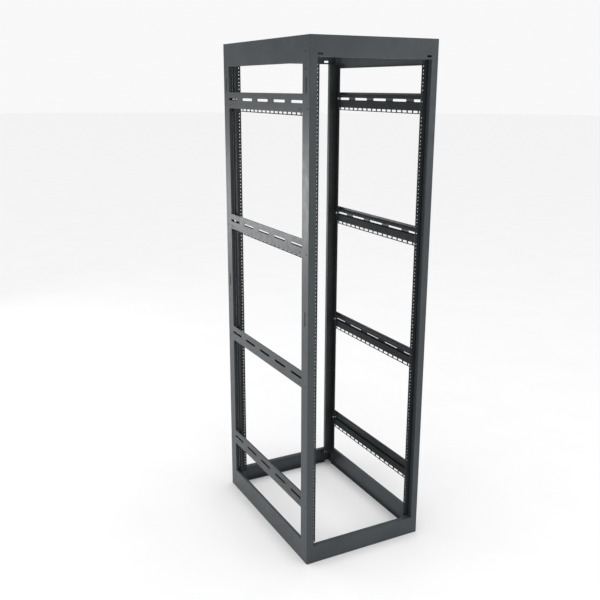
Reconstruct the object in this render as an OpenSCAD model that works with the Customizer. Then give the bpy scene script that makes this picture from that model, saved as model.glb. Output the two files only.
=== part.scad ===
// Open four-post rack frame for 19 inch equipment, 44 rack units tall.
// X runs across the front, +Y to the rear, +Z up. The origin is on the floor under the middle.

/* [Frame] */
// Overall width
frame_w = 558.8; // [540:0.1:620]
// Overall depth, front face to rear face
frame_d = 800.1; // [760:0.1:900]
// Number of 1U spaces between the base and the header
rack_units = 44; // [44:1:45]
// Thickness of the welded frame sheet
sheet_t = 2.7; // [2:0.1:3]

/* [Posts] */
// Width of a post's front or rear flange
post_flange_w = 30.5; // [28:0.5:32]
// Depth of a post's side web
post_web_d = 56; // [54:0.5:60]
// Depth of the lip turned back from the flange's inner edge, between the kick and the header
post_lip_d = 24; // [20:0.5:25]
// Outside radius of the bent post edge
post_bend_r = 3.5; // [3:0.1:4]

/* [Headers and kicks] */
// Height of the front and rear header faces
header_front_h = 75.6; // [70:0.1:80]
// Height of the side header faces
header_side_h = 95; // [85:0.5:96]
// Height of the front and rear kick faces
kick_front_h = 77.8; // [72:0.1:80]
// Height of the side kick faces
kick_side_h = 93; // [85:0.5:96]
// Depth of the top flange turned inward on the front and rear members
flange_front_d = 22; // [18:0.5:24]
// Depth of the flanges turned inward on the side members
flange_side_d = 12; // [9:0.5:13]

/* [Side braces] */
// Number of braces on each side
brace_count = 4; // [4:1:4]
// Height of the uppermost brace's top edge above the floor
brace_top_z = 1910; // [1890:1:1930]
// Rack units from one brace to the next
brace_pitch_u = 12; // [12:1:12]
// Height of a brace's outer web
brace_web_h = 68; // [64:1:70]
// Thickness of the brace and bar sheet
brace_t = 2; // [1.5:0.1:2.2]
// Number of long slots in each brace
slot_count = 5; // [5:1:5]
// Length of a long slot, end to end
slot_len = 100; // [90:1:102]
// Distance from one long slot to the next, centre to centre
slot_pitch = 150.6; // [149:0.1:151]
// Height of the long slots in the outer brace
slot_h = 10; // [8:0.5:11]
// Distance from the brace's top edge down to the slots' centre line
slot_drop = 29; // [27:0.5:31]

/* [Rail bars] */
// Height of the inner bar that carries the rack rails
bar_h = 68; // [66:0.5:69]
// Height of the bar's long opening, which the rail bolts ride in
bar_slot_h = 14; // [12:0.5:15]
// Pitch of the lacing windows along the bar's lower edge
lacing_pitch = 38.1; // [34:0.1:44]
// Length of one lacing window
lacing_len = 31; // [26:0.5:32]
// Height of one lacing window
lacing_h = 10; // [8:0.5:10.5]

/* [Rack rails] */
// Thickness of the rail steel
rail_t = 3; // [2.5:0.1:3]
// Depth of the rail's side leg, over the mounting face
rail_leg_d = 33; // [32:0.5:36]
// Distance from the frame's front face back to the front rails
rail_front_setback = 28; // [26:0.1:30]
// Distance from the frame's rear face forward to the rear rails
rail_rear_setback = 57; // [57:0.1:70]
// Radius of the tapped equipment holes
rack_hole_r = 2.4; // [2.2:0.1:2.6]
// Radius of the one hole per space in the rail's leg
leg_hole_r = 3.2; // [3.1:0.1:3.4]

/* [Fasteners] */
// Thread radius of the rail bolts
bolt_r = 3; // [2.8:0.1:3]
// Side length of the base corner plates
corner_plate_w = 50; // [46:1:52]
// Thread radius of the levelling-foot nuts in the corner plates
foot_thread_r = 5; // [4:0.5:5]

/* [Hidden] */
$fn = 32;
unit_h = 44.45;
hole_span_w = 465.1;          // centre to centre of the equipment holes, across the rack
hole_rise = [6.35, 22.225, 38.1];
rack_opening_w = 450.06;
rail_end_gap = 2.2;           // between the rails' upper ends and the front header
frame_h = kick_front_h + rack_units * unit_h + rail_end_gap + header_front_h;
half_w = frame_w / 2;
half_d = frame_d / 2;
rail_z = kick_front_h;
rail_h = rack_units * unit_h;
bar_x = 14.5;                 // the bar's outer face, measured in from the side of the frame
bar_drop = 12;                // the bar's top edge below the brace's top edge
running_gap = 0.3;
rail_x = bar_x + brace_t + running_gap;
rail_face_w = (frame_w - rack_opening_w) / 2 - rail_x;
leg_hole_setback = rail_leg_d - 6.4;   // the leg's holes and bolts, back from the mounting face
brace_len = frame_d - 2 * post_web_d;
bar_end_gap = 32;             // from the bar's end to the frame's front or rear face
bar_len = frame_d - 2 * bar_end_gap;
bar_slot_end = 46;            // from the end of the bar's opening to the frame's front or rear face
lacing_rim = 3.5;             // steel left under the lacing windows
lacing_count = floor((bar_len - 30) / lacing_pitch);
plate_z = kick_front_h - 12;
plate_t = 3;
foot_at = [36, 38];           // the levelling foot's axis, in from the side and from the front
foot_nut_h = 7.5;
foot_nut_r = 9.6;             // hexagon's corner radius
plate_relief = 7;             // square cut out of the plate at the post's bend
nut_t = 5;
nut_r = 5.7;                  // hexagon's corner radius
nut_flange_r = 9;
nut_flange_t = 1.2;
head_t = 3.4;
head_r = 5.6;
socket_r = 1.9;
socket_depth = 1.4;
bolt_tip_x = 6;               // the bolt's tip, in from the side of the frame
nut_clear_x = 5.2;            // the notch that passes the nuts, in from the side of the frame
nut_clear_h = 22;
brace_lip_d = 5;
// Holes in the posts' and braces' side faces, with places in from the nearer end face
panel_hole_drops = [57, 115];
panel_hole_y = 33;
panel_hole_r = 3.2;
web_slot_heights = [frame_h - 172, 1066];
web_slot_y = 28;
web_slot_len = 58;
web_slot_w = 7;
brace_hole_y = [18, 74];      // one in the post, one in the brace
brace_hole_drop = 53.5;
brace_hole_r = 3.4;
// The lifting slots low on the front and rear headers
header_slot_x = 42;
header_slot_z = 11;
header_slot_len = 24;
header_slot_h = 9;

coat = [0.16, 0.17, 0.18];
coat_dark = [0.12, 0.125, 0.13];
zinc = [0.72, 0.73, 0.74];

function brace_z(i) = brace_top_z - (i - 1) * brace_pitch_u * unit_h;
function slot_y(k) = (k - (slot_count - 1) / 2) * slot_pitch;

// Places a part drawn for the front left corner, whose corner point is the local origin.
module corner(right, rear) {
    mirror([right ? 1 : 0, 0, 0]) mirror([0, rear ? 1 : 0, 0])
        translate([-half_w, -half_d, 0]) children();
}

// Places a part drawn for the left side, from the side face inward along +X and centred along Y.
module side(right) {
    mirror([right ? 1 : 0, 0, 0]) translate([-half_w, 0, 0]) children();
}

// Places a part drawn for the front, from the front face inward along +Y and centred along X.
module end(rear) {
    mirror([0, rear ? 1 : 0, 0]) translate([0, -half_d, 0]) children();
}

// A round-ended slot through the YZ plane, long along Y.
module slot_y_cut(length, height, depth) {
    for (s = [-1, 1])
        translate([0, s * (length - height) / 2, 0])
            rotate([0, 90, 0]) cylinder(h = depth, r = height / 2, center = true);
    cube([depth, length - height, height], center = true);
}

// A round-ended slot through the YZ plane, long along Z.
module slot_z_cut(length, width, depth) {
    rotate([90, 0, 0]) slot_y_cut(length, width, depth);
}

// A round hole through a sheet in the YZ plane.
module side_hole(radius) {
    rotate([0, 90, 0]) cylinder(h = 10, r = radius, center = true);
}

// Post: flange with a lip, bent corner, side web, and a return flange that backs the bars, notched for nuts.
module post() {
    difference() {
        union() {
            linear_extrude(frame_h) post_outline();
            translate([post_flange_w - sheet_t, 0, kick_front_h])
                cube([sheet_t, post_lip_d, frame_h - header_front_h - kick_front_h]);
        }
        for (drop = panel_hole_drops)
            translate([0, panel_hole_y, frame_h - drop]) side_hole(panel_hole_r);
        for (z = web_slot_heights)
            translate([0, web_slot_y, z]) slot_z_cut(web_slot_len, web_slot_w, 8);
        for (i = [1:brace_count]) {
            translate([0, brace_hole_y[0], brace_z(i) - brace_hole_drop]) side_hole(brace_hole_r);
            translate([nut_clear_x, post_web_d - 5, brace_z(i) - slot_drop - nut_clear_h / 2])
                cube([bar_x, 10, nut_clear_h]);
        }
    }
}

module post_outline() {
    difference() {
        union() {
            intersection() {
                translate([post_bend_r, post_bend_r]) circle(r = post_bend_r);
                square(post_bend_r);
            }
            translate([post_bend_r, 0]) square([post_flange_w - post_bend_r, sheet_t]);
            translate([0, post_bend_r]) square([sheet_t, post_web_d - post_bend_r]);
            translate([0, post_web_d - sheet_t]) square([bar_x, sheet_t]);
        }
        translate([post_bend_r, post_bend_r]) circle(r = post_bend_r - sheet_t);
    }
}

// Front or rear header: face, deep top flange, shallow bottom flange.
module header_end() {
    length = frame_w - 2 * post_flange_w;
    z = frame_h - header_front_h;
    difference() {
        union() {
            translate([-length / 2, 0, z]) cube([length, sheet_t, header_front_h]);
            translate([-length / 2, 0, frame_h - sheet_t]) cube([length, flange_front_d, sheet_t]);
            translate([-length / 2, 0, z]) cube([length, flange_side_d, sheet_t]);
        }
        for (s = [-1, 1])
            translate([s * (half_w - header_slot_x), 0, z + header_slot_z])
                rotate([0, 0, 90]) slot_y_cut(header_slot_len, header_slot_h, 12);
    }
}

module header_side() {
    z = frame_h - header_side_h;
    translate([0, -brace_len / 2, z]) cube([sheet_t, brace_len, header_side_h]);
    translate([0, -brace_len / 2, frame_h - sheet_t]) cube([flange_side_d, brace_len, sheet_t]);
    translate([0, -brace_len / 2, z]) cube([flange_side_d, brace_len, sheet_t]);
}

// Front or rear kick: face with top and floor flanges turned inward.
module kick_end() {
    length = frame_w - 2 * post_flange_w;
    translate([-length / 2, 0, 0]) cube([length, sheet_t, kick_front_h]);
    translate([-length / 2, 0, kick_front_h - sheet_t]) cube([length, flange_front_d, sheet_t]);
    translate([-length / 2, 0, 0]) cube([length, flange_front_d, sheet_t]);
}

module kick_side() {
    translate([0, -brace_len / 2, 0]) cube([sheet_t, brace_len, kick_side_h]);
    for (z = [0, kick_side_h - sheet_t])
        translate([0, -brace_len / 2, z]) cube([flange_side_d, brace_len, sheet_t]);
}

// Side brace: slotted outer web with a small top lip and a bottom flange that meets the rail bar.
module brace(i) {
    top = brace_z(i);
    difference() {
        union() {
            translate([0, -brace_len / 2, top - brace_web_h]) cube([brace_t, brace_len, brace_web_h]);
            translate([0, -brace_len / 2, top - brace_t]) cube([brace_lip_d, brace_len, brace_t]);
            translate([0, -brace_len / 2, top - brace_web_h]) cube([bar_x, brace_len, brace_t]);
        }
        for (k = [0:slot_count - 1])
            translate([0, slot_y(k), top - slot_drop]) slot_y_cut(slot_len, slot_h, 10);
        for (s = [-1, 1])
            translate([0, s * (half_d - brace_hole_y[1]), top - brace_hole_drop]) side_hole(brace_hole_r);
    }
}

// Rail bar: strip inside the brace, with one long opening for the rail bolts and lacing windows below it.
module rail_bar(i) {
    top = brace_z(i) - bar_drop;
    difference() {
        translate([bar_x, -bar_len / 2, top - bar_h]) cube([brace_t, bar_len, bar_h]);
        translate([bar_x, 0, brace_z(i) - slot_drop])
            slot_y_cut(frame_d - 2 * bar_slot_end, bar_slot_h, 10);
        for (k = [0:lacing_count - 1])
            translate([bar_x, (k - (lacing_count - 1) / 2) * lacing_pitch, top - bar_h + lacing_rim])
                translate([-5, -lacing_len / 2, 0]) cube([10, lacing_len, lacing_h]);
    }
}

// Rack rail: tapped mounting face with three holes per space, and a leg with one.
module rack_rail(setback) {
    hole_x = (frame_w - hole_span_w) / 2;
    difference() {
        union() {
            translate([rail_x, setback, rail_z]) cube([rail_face_w, rail_t, rail_h]);
            translate([rail_x, setback, rail_z]) cube([rail_t, rail_leg_d, rail_h]);
        }
        for (u = [0:rack_units - 1]) {
            for (rise = hole_rise)
                translate([hole_x, setback, rail_z + u * unit_h + rise])
                    rotate([90, 0, 0]) cylinder(h = 10, r = rack_hole_r, center = true);
            translate([rail_x, setback + leg_hole_setback, rail_z + (u + 0.5) * unit_h])
                rotate([0, 90, 0]) cylinder(h = 10, r = leg_hole_r, center = true);
        }
        for (i = [1:brace_count])
            translate([rail_x, setback + leg_hole_setback, brace_z(i) - slot_drop])
                rotate([0, 90, 0]) cylinder(h = 10, r = leg_hole_r, center = true);
    }
}

// Four pan head bolts, one at each brace, with their shanks pointing out through the bar's opening.
module rail_bolts(setback) {
    head_x = rail_x + rail_t + 0.05;
    for (i = [1:brace_count])
        translate([head_x, setback + leg_hole_setback, brace_z(i) - slot_drop]) rotate([0, 90, 0]) {
            difference() {
                union() {
                    cylinder(h = head_t, r = head_r);
                    translate([0, 0, bolt_tip_x - head_x]) cylinder(h = head_x - bolt_tip_x, r = bolt_r);
                }
                translate([0, 0, head_t - socket_depth]) cylinder(h = head_t, r = socket_r, $fn = 6);
            }
        }
}

// Four flange nuts in the space between the brace's web and the rail bar.
module rail_nuts(setback) {
    for (i = [1:brace_count])
        translate([bar_x - running_gap, setback + leg_hole_setback, brace_z(i) - slot_drop])
            rotate([0, -90, 0]) difference() {
                union() {
                    cylinder(h = nut_t, r = nut_r, $fn = 6);
                    cylinder(h = nut_flange_t, r = nut_flange_r);
                }
                translate([0, 0, -1]) cylinder(h = nut_t + 2, r = bolt_r + 0.05);
            }
}

// Base corner plate, drilled for a levelling foot or caster stem.
module corner_plate() {
    difference() {
        translate([sheet_t, sheet_t, plate_z]) cube([corner_plate_w, corner_plate_w, plate_t]);
        translate([0, 0, plate_z - 1]) cube([plate_relief, plate_relief, plate_t + 2]);
        translate([foot_at.x, foot_at.y, plate_z - 1]) cylinder(h = plate_t + 2, r = foot_thread_r + 0.5);
    }
}

// Hex weld nut on the corner plate.
module foot_nut() {
    translate([foot_at.x, foot_at.y, plate_z + plate_t]) difference() {
        cylinder(h = foot_nut_h, r = foot_nut_r, $fn = 6);
        translate([0, 0, -1]) cylinder(h = foot_nut_h + 2, r = foot_thread_r);
    }
}

module place_post(right, rear) { color(coat) corner(right, rear) post(); }
module place_brace(right, i) { color(coat) side(right) brace(i); }
module place_bar(right, i) { color(coat_dark) side(right) rail_bar(i); }
module place_rail(right, rear) {
    color(coat_dark) corner(right, rear) rack_rail(rear ? rail_rear_setback : rail_front_setback);
}
module place_bolts(right, rear) {
    color(zinc) corner(right, rear) rail_bolts(rear ? rail_rear_setback : rail_front_setback);
}
module place_nuts(right, rear) {
    color(zinc) corner(right, rear) rail_nuts(rear ? rail_rear_setback : rail_front_setback);
}
module place_plate(right, rear) { color(coat) corner(right, rear) corner_plate(); }
module place_foot_nut(right, rear) { color(zinc) corner(right, rear) foot_nut(); }

place_post(false, false);  // post_front_left
place_post(true, false);  // post_front_right
place_post(false, true);  // post_rear_left
place_post(true, true);  // post_rear_right
color(coat) end(false) header_end();  // header_front
color(coat) end(true) header_end();  // header_rear
color(coat) side(false) header_side();  // header_left
color(coat) side(true) header_side();  // header_right
color(coat) end(false) kick_end();  // kick_front
color(coat) end(true) kick_end();  // kick_rear
color(coat) side(false) kick_side();  // kick_left
color(coat) side(true) kick_side();  // kick_right
place_brace(false, 1);  // brace_left_1
place_brace(false, 2);  // brace_left_2
place_brace(false, 3);  // brace_left_3
place_brace(false, 4);  // brace_left_4
place_brace(true, 1);  // brace_right_1
place_brace(true, 2);  // brace_right_2
place_brace(true, 3);  // brace_right_3
place_brace(true, 4);  // brace_right_4
place_bar(false, 1);  // rail_bar_left_1
place_bar(false, 2);  // rail_bar_left_2
place_bar(false, 3);  // rail_bar_left_3
place_bar(false, 4);  // rail_bar_left_4
place_bar(true, 1);  // rail_bar_right_1
place_bar(true, 2);  // rail_bar_right_2
place_bar(true, 3);  // rail_bar_right_3
place_bar(true, 4);  // rail_bar_right_4
place_rail(false, false);  // rack_rail_front_left
place_rail(true, false);  // rack_rail_front_right
place_rail(false, true);  // rack_rail_rear_left
place_rail(true, true);  // rack_rail_rear_right
place_bolts(false, false);  // rail_bolts_front_left
place_bolts(true, false);  // rail_bolts_front_right
place_bolts(false, true);  // rail_bolts_rear_left
place_bolts(true, true);  // rail_bolts_rear_right
place_nuts(false, false);  // rail_nuts_front_left
place_nuts(true, false);  // rail_nuts_front_right
place_nuts(false, true);  // rail_nuts_rear_left
place_nuts(true, true);  // rail_nuts_rear_right
place_plate(false, false);  // corner_plate_front_left
place_plate(true, false);  // corner_plate_front_right
place_plate(false, true);  // corner_plate_rear_left
place_plate(true, true);  // corner_plate_rear_right
place_foot_nut(false, false);  // foot_nut_front_left
place_foot_nut(true, false);  // foot_nut_front_right
place_foot_nut(false, true);  // foot_nut_rear_left
place_foot_nut(true, true);  // foot_nut_rear_right
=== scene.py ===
"""Looks for the open server rack frame: coats, zinc, weld beads, floor, studio light and camera."""

import math

import bmesh
import bpy
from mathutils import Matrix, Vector


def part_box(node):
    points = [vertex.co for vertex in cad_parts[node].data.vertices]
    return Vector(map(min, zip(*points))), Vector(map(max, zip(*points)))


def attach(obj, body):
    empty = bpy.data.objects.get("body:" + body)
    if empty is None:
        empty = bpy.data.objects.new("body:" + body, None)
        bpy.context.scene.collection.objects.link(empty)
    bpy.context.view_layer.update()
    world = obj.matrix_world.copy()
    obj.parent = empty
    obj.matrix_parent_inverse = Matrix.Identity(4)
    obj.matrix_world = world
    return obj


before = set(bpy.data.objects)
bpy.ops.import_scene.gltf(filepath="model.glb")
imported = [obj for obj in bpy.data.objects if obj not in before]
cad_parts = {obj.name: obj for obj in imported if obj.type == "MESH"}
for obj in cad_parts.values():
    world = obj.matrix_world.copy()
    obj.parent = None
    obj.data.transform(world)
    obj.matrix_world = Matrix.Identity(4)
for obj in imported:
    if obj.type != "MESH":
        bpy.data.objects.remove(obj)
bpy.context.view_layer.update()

SIDES = ((-1, "left"), (1, "right"))
ENDS = ((-1, "front"), (1, "rear"))
BRACES = (1, 2, 3, 4)

# Sheet steel sizes that the weld beads follow, in metres
SHEET = 0.0027
BRACE_SHEET = 0.002

# The weld beads, with lengths in metres
BEAD_LEG = 0.0024
BEAD_RIPPLE = 0.0016
BEAD_RIPPLE_STRETCH = 1.5  # the wave's length over BEAD_RIPPLE
BEAD_RIPPLE_DEPTH = 0.10  # as a share of the bead's size
BEAD_RINGS_PER_RIPPLE = 4
BEAD_MIN_RINGS = 8
BEAD_SIDES = 6
BEAD_FLATTENING = 0.20  # how far the middle of the bead's face is drawn in, as a share of its size
BEAD_END = 0.006  # each end swells over this length
BEAD_SWELL = 0.008  # the quarter wave that an end follows
BEAD_END_START = 0.35  # where an end starts on that wave, in radians
BRACE_SEAM_GAP = 0.004  # left free at the top and the bottom of a seam
SIDE_SEAM_GAP = 0.005
PLATE_SEAM_START = 0.010  # from the corner of the frame
PLATE_SEAM_END = 0.046


# ---------------------------------------------------------------- materials

# Widths of the softened edges and depth of the zinc's marks, in metres
COAT_EDGE = 0.0009
ZINC_EDGE = 0.0004
ZINC_MARK_DEPTH = 0.00006
# How far a coat's gloss strays below and above its roughness
GLOSSIER = 0.04
DULLER = 0.05


def new_material(name):
    """An empty node material, with its Principled shader wired to the output."""
    material = bpy.data.materials.new(name)
    material.use_nodes = True
    tree = material.node_tree
    tree.nodes.clear()
    shader = tree.nodes.new("ShaderNodeBsdfPrincipled")
    output = tree.nodes.new("ShaderNodeOutputMaterial")
    tree.links.new(shader.outputs["BSDF"], output.inputs["Surface"])
    return material, tree, shader


def noise(tree, scale, detail=2.0, stretch=(1, 1, 1)):
    """A noise pattern fixed to the piece, with its scale in cycles per metre."""
    place = tree.nodes.new("ShaderNodeTexCoord")
    mapping = tree.nodes.new("ShaderNodeMapping")
    texture = tree.nodes.new("ShaderNodeTexNoise")
    mapping.inputs["Scale"].default_value = stretch
    texture.inputs["Scale"].default_value = scale
    texture.inputs["Detail"].default_value = detail
    tree.links.new(place.outputs["Object"], mapping.inputs["Vector"])
    tree.links.new(mapping.outputs["Vector"], texture.inputs["Vector"])
    return texture.outputs["Fac"]


def spread(tree, value, low, high, start=0.3, end=0.7):
    """Maps a noise value from start..end to low..high."""
    node = tree.nodes.new("ShaderNodeMapRange")
    node.inputs["From Min"].default_value = start
    node.inputs["From Max"].default_value = end
    node.inputs["To Min"].default_value = low
    node.inputs["To Max"].default_value = high
    tree.links.new(value, node.inputs["Value"])
    return node.outputs["Result"]


def mix_colours(tree, factor, first, second):
    """Mixes two colours. Each is a colour or another node's output."""
    node = tree.nodes.new("ShaderNodeMix")
    node.data_type = "RGBA"
    tree.links.new(factor, node.inputs["Factor"])
    for socket, value in ((node.inputs[6], first), (node.inputs[7], second)):
        if isinstance(value, tuple):
            socket.default_value = (*value, 1)
        else:
            tree.links.new(value, socket)
    return node.outputs[2]


def soft_edges(tree, radius):
    """The normal of slightly rounded edges, and a mask that is 1 on those edges."""
    bevel = tree.nodes.new("ShaderNodeBevel")
    bevel.samples = 4
    bevel.inputs["Radius"].default_value = radius
    geometry = tree.nodes.new("ShaderNodeNewGeometry")
    dot = tree.nodes.new("ShaderNodeVectorMath")
    dot.operation = "DOT_PRODUCT"
    tree.links.new(bevel.outputs["Normal"], dot.inputs[0])
    tree.links.new(geometry.outputs["Normal"], dot.inputs[1])
    return bevel.outputs["Normal"], spread(
        tree, dot.outputs["Value"], low=1, high=0, start=0.72, end=0.98
    )


def multiply(tree, first, second):
    """The product of two values."""
    node = tree.nodes.new("ShaderNodeMath")
    node.operation = "MULTIPLY"
    tree.links.new(first, node.inputs[0])
    tree.links.new(second, node.inputs[1])
    return node.outputs[0]


def bumps(tree, height, distance, normal):
    """The normal, tilted by a height pattern that is up to distance metres deep."""
    node = tree.nodes.new("ShaderNodeBump")
    node.inputs["Distance"].default_value = distance
    tree.links.new(height, node.inputs["Height"])
    tree.links.new(normal, node.inputs["Normal"])
    return node.outputs["Normal"]


def coated_steel(name, dark, light, worn, roughness, grain, specular):
    """Powder coat: fine pebbled grain, a faint mottle, uneven gloss, and edges where it is thin."""
    material, tree, shader = new_material(name)
    mottle = noise(tree, 9, 4)
    fleck = noise(tree, 620, 1)
    colour = mix_colours(tree, spread(tree, mottle, 0, 1), dark, light)
    flecked = spread(tree, fleck, low=0, high=0.35, start=0.5, end=0.75)
    colour = mix_colours(tree, flecked, colour, light)
    normal, edge = soft_edges(tree, COAT_EDGE)
    patches = spread(tree, noise(tree, 55, 3), low=0.1, high=0.75, start=0.42, end=0.68)
    wear = multiply(tree, edge, patches)
    colour = mix_colours(tree, wear, colour, worn)
    tree.links.new(colour, shader.inputs["Base Color"])
    uneven = spread(tree, noise(tree, 28, 3), roughness - GLOSSIER, roughness + DULLER)
    tree.links.new(uneven, shader.inputs["Roughness"])
    pebbles = bumps(tree, noise(tree, 850, 2), grain, normal)
    tree.links.new(pebbles, shader.inputs["Normal"])
    shader.inputs["Specular IOR Level"].default_value = specular
    return material


def zinc_plate(name):
    """Clear zinc plating: pale, slightly blue and yellow in turn, with fine turning marks."""
    material, tree, shader = new_material(name)
    clouds = noise(tree, 160, 3)
    colour = mix_colours(tree, spread(tree, clouds, 0, 1), (0.62, 0.64, 0.67), (0.78, 0.77, 0.72))
    tree.links.new(colour, shader.inputs["Base Color"])
    shader.inputs["Metallic"].default_value = 1
    tree.links.new(spread(tree, noise(tree, 420, 2), 0.24, 0.42), shader.inputs["Roughness"])
    normal, _ = soft_edges(tree, ZINC_EDGE)
    marks = bumps(tree, noise(tree, 700, 2, (4, 1, 1)), ZINC_MARK_DEPTH, normal)
    tree.links.new(marks, shader.inputs["Normal"])
    return material


def floor_paper(name):
    """Seamless pale studio paper, with a very faint tooth."""
    material, tree, shader = new_material(name)
    shade = mix_colours(
        tree, spread(tree, noise(tree, 3, 3), 0, 1), (0.885, 0.885, 0.885), (0.90, 0.90, 0.90)
    )
    tree.links.new(shade, shader.inputs["Base Color"])
    shader.inputs["Roughness"].default_value = 0.75
    shader.inputs["Specular IOR Level"].default_value = 0.15
    return material


MATERIALS = {
    "frame": coated_steel(
        "charcoal_coat",
        dark=(0.036, 0.043, 0.048),
        light=(0.046, 0.055, 0.061),
        worn=(0.12, 0.13, 0.14),
        roughness=0.33,
        grain=0.00005,
        specular=0.30,
    ),
    # The bars wear the frame's charcoal coat painted darker: painted shade for their inner faces, which sit
    # in shadow inside the braces.
    "bar": coated_steel(
        "charcoal_coat_bar_painted_shade",
        dark=(0.015, 0.019, 0.021),
        light=(0.020, 0.025, 0.028),
        worn=(0.07, 0.08, 0.085),
        roughness=0.58,
        grain=0.00006,
        specular=0.12,
    ),
    "rail": coated_steel(
        "black_coat_rail",
        dark=(0.009, 0.012, 0.013),
        light=(0.014, 0.017, 0.019),
        worn=(0.06, 0.065, 0.07),
        roughness=0.48,
        grain=0.00006,
        specular=0.3,
    ),
    "zinc": zinc_plate("zinc_plate"),
}


def slot_of(node):
    """The name of the material that a CAD node wears."""
    if node.startswith("rail_bar"):
        return "bar"
    if node.startswith("rack_rail"):
        return "rail"
    if node.startswith(("rail_bolts", "rail_nuts", "foot_nut")):
        return "zinc"
    return "frame"


def paint(piece, slot):
    piece.data.materials.clear()
    piece.data.materials.append(MATERIALS[slot])


for node_name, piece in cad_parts.items():
    paint(piece, slot_of(node_name))


# ---------------------------------------------------------------- weld beads


def bead(mesh, start, end, leg_a, leg_b):
    """Adds a rippled fillet bead along the corner from start to end, between two sheet directions."""
    run = end - start
    steps = max(BEAD_MIN_RINGS, int(run.length / BEAD_RIPPLE) * BEAD_RINGS_PER_RIPPLE)
    rings = []
    for i in range(steps + 1):
        along = i / steps
        place = start + run * along
        waves = run.length * along / BEAD_RIPPLE / BEAD_RIPPLE_STRETCH
        ripple = 1 + BEAD_RIPPLE_DEPTH * math.cos(2 * math.pi * waves)
        from_end = min(along, 1 - along) * run.length
        taper = 1
        if from_end <= BEAD_END:
            taper = min(1, math.sin(math.pi * from_end / BEAD_SWELL / 2 + BEAD_END_START))
        size = BEAD_LEG * ripple * taper
        ring = [mesh.verts.new(place)]
        for k in range(BEAD_SIDES + 1):
            turn = math.pi / 2 * k / BEAD_SIDES
            bulge = 1 - BEAD_FLATTENING + BEAD_FLATTENING * abs(math.cos(2 * turn))
            ring.append(mesh.verts.new(
                place + (leg_a * math.cos(turn) + leg_b * math.sin(turn)) * size * bulge
            ))
        rings.append(ring)
    count = len(rings[0])
    for a, b in zip(rings, rings[1:]):
        for k in range(count):
            mesh.faces.new((a[k], a[(k + 1) % count], b[(k + 1) % count], b[k]))
    mesh.faces.new(rings[0][::-1])
    mesh.faces.new(rings[-1])


def weld_piece(name, seams):
    """One object for a group of beads. Each seam is (start, end, first sheet's way, second sheet's way)."""
    mesh = bmesh.new()
    for start, end, leg_a, leg_b in seams:
        bead(mesh, Vector(start), Vector(end), Vector(leg_a), Vector(leg_b))
    bmesh.ops.recalc_face_normals(mesh, faces=mesh.faces)
    data = bpy.data.meshes.new(name)
    mesh.to_mesh(data)
    mesh.free()
    data.shade_smooth()
    piece = bpy.data.objects.new(name, data)
    bpy.context.scene.collection.objects.link(piece)
    paint(piece, "frame")
    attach(piece, "frame")


def side_member_seams(side, node, sheet, gap):
    """The seams inside a side member, up each end where its web meets the posts' return flanges."""
    low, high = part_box(node)
    inside = side * (abs(low.x if side < 0 else high.x) - sheet)
    for end, y in ((-1, low.y), (1, high.y)):
        yield (
            (inside, y, low.z + gap),
            (inside, y, high.z - gap),
            (-side, 0, 0),
            (0, -end, 0),
        )


for side, side_name in SIDES:
    seams = []
    for i in BRACES:
        seams += side_member_seams(side, f"brace_{side_name}_{i}", BRACE_SHEET, BRACE_SEAM_GAP)
    for node in (f"header_{side_name}", f"kick_{side_name}"):
        seams += side_member_seams(side, node, SHEET, SIDE_SEAM_GAP)
    weld_piece(f"weld_beads_{side_name}", seams)

for end, end_name in ENDS:
    seams = []
    for side, side_name in SIDES:
        plate_low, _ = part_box(f"corner_plate_{end_name}_{side_name}")
        post_low, post_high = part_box(f"post_{end_name}_{side_name}")
        wall_x = side * (abs(post_low.x if side < 0 else post_high.x) - SHEET)
        wall_y = end * (abs(post_low.y if end < 0 else post_high.y) - SHEET)
        seams.append((
            (wall_x, wall_y - end * PLATE_SEAM_START, plate_low.z),
            (wall_x, wall_y - end * PLATE_SEAM_END, plate_low.z),
            (-side, 0, 0),
            (0, 0, -1),
        ))
        seams.append((
            (wall_x - side * PLATE_SEAM_START, wall_y, plate_low.z),
            (wall_x - side * PLATE_SEAM_END, wall_y, plate_low.z),
            (0, -end, 0),
            (0, 0, -1),
        ))
    weld_piece(f"plate_welds_{end_name}", seams)


# ---------------------------------------------------------------- floor, light and camera

FLOOR_RADIUS = 60
FLOOR_GAP = 0.0003  # just under the rack, so that the two surfaces don't coincide
BACKDROP = 0.94  # the brightness that the camera sees
AMBIENT_STRENGTH = 0.4  # the light that the backdrop gives

# Each lamp's place, what it points at, its width and height in metres, and its power in watts
LAMPS = {
    "back_left_panel": ((-3.0, 3.2, 0.90), (-0.3, -0.1, 1.2), 2.6, 0.9, 48),
    "front_key": ((-0.6, -5.4, 2.4), (0, 0, 1.0), 2.6, 2.6, 70),
    "front_right_panel": ((3.7, -5.0, 1.9), (0, -0.4, 1.4), 2.4, 1.8, 30),
}
SUN_STRENGTH = 2.0
SUN_SPREAD_DEGREES = 80

# The standpoint in metres, and the turns in radians
CAMERA_PLACE = (-1.6385, -2.9211, 1.9313)
CAMERA_YAW = 0.48317
CAMERA_PITCH = -0.26612
CAMERA_ROLL = 0.0035
LENS = 46.8
SENSOR_WIDTH = 36


def studio_floor():
    """A wide round sheet of paper just under the rack."""
    mesh = bmesh.new()
    bmesh.ops.create_circle(mesh, cap_ends=True, segments=96, radius=FLOOR_RADIUS)
    data = bpy.data.meshes.new("studio_floor")
    mesh.to_mesh(data)
    mesh.free()
    floor = bpy.data.objects.new("studio_floor", data)
    floor.location.z = -FLOOR_GAP
    bpy.context.scene.collection.objects.link(floor)
    data.materials.append(floor_paper("floor_paper"))


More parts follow.
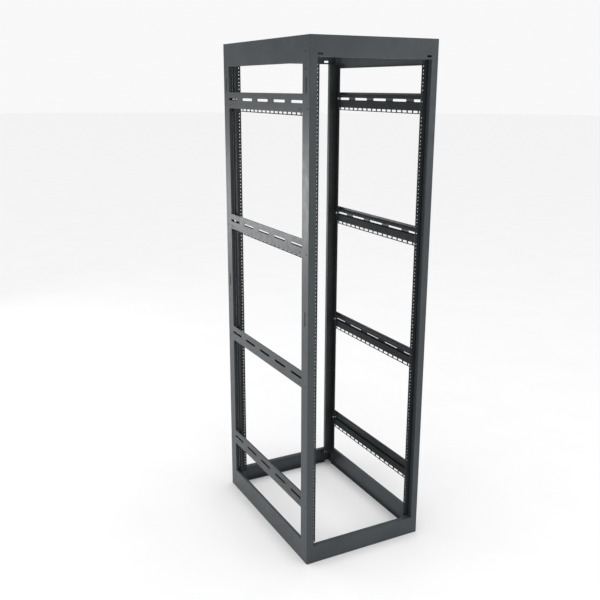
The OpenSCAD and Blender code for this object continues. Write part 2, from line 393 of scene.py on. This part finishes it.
def studio_world():
    """A white backdrop to look at, which gives less light than it shows."""
    world = bpy.data.worlds.new("studio_world")
    world.use_nodes = True
    tree = world.node_tree
    tree.nodes.clear()
    seen = tree.nodes.new("ShaderNodeBackground")
    seen.inputs["Color"].default_value = (BACKDROP, BACKDROP, BACKDROP, 1)
    ambient = tree.nodes.new("ShaderNodeBackground")
    ambient.inputs["Color"].default_value = (1, 1, 1, 1)
    ambient.inputs["Strength"].default_value = AMBIENT_STRENGTH
    rays = tree.nodes.new("ShaderNodeLightPath")
    choice = tree.nodes.new("ShaderNodeMixShader")
    output = tree.nodes.new("ShaderNodeOutputWorld")
    tree.links.new(rays.outputs["Is Camera Ray"], choice.inputs["Fac"])
    tree.links.new(ambient.outputs["Background"], choice.inputs[1])
    tree.links.new(seen.outputs["Background"], choice.inputs[2])
    tree.links.new(choice.outputs["Shader"], output.inputs["Surface"])
    bpy.context.scene.world = world


def softbox(name, place, aim, width, height, watts):
    """A large soft lamp that doesn't show in the picture itself."""
    data = bpy.data.lights.new(name, "AREA")
    data.shape = "RECTANGLE"
    data.size = width
    data.size_y = height
    data.energy = watts
    lamp = bpy.data.objects.new(name, data)
    lamp.location = place
    lamp.rotation_mode = "QUATERNION"
    lamp.rotation_quaternion = (Vector(aim) - Vector(place)).to_track_quat("-Z", "Y")
    lamp.visible_camera = False
    bpy.context.scene.collection.objects.link(lamp)


def overhead(strength, spread_degrees):
    """Very soft light from straight above, even over the whole floor."""
    data = bpy.data.lights.new("overhead", "SUN")
    data.energy = strength
    data.angle = math.radians(spread_degrees)
    bpy.context.scene.collection.objects.link(bpy.data.objects.new("overhead", data))


def camera():
    """The picture's standpoint, without lens shift: yaw to the right of +Y, then pitch, then roll."""
    yaw, pitch, roll = CAMERA_YAW, CAMERA_PITCH, CAMERA_ROLL
    data = bpy.data.cameras.new("camera")
    data.lens = LENS
    data.sensor_width = SENSOR_WIDTH
    view = bpy.data.objects.new("camera", data)
    ahead = Vector((math.sin(yaw), math.cos(yaw), 0))
    right = Vector((math.cos(yaw), -math.sin(yaw), 0))
    forward = math.cos(pitch) * ahead + math.sin(pitch) * Vector((0, 0, 1))
    above = math.cos(pitch) * Vector((0, 0, 1)) - math.sin(pitch) * ahead
    right, above = (
        math.cos(roll) * right + math.sin(roll) * above,
        math.cos(roll) * above - math.sin(roll) * right,
    )
    view.rotation_mode = "QUATERNION"
    turn = view.matrix_world.to_3x3()
    turn.col[0], turn.col[1], turn.col[2] = right, above, -forward
    view.rotation_quaternion = turn.to_quaternion()
    view.location = CAMERA_PLACE
    bpy.context.scene.collection.objects.link(view)
    bpy.context.scene.camera = view


studio_floor()
studio_world()
overhead(SUN_STRENGTH, SUN_SPREAD_DEGREES)
for lamp_name, (lamp_place, lamp_aim, lamp_width, lamp_height, lamp_watts) in LAMPS.items():
    softbox(lamp_name, lamp_place, lamp_aim, lamp_width, lamp_height, lamp_watts)
camera()
bpy.context.scene.view_settings.view_transform = "Standard"
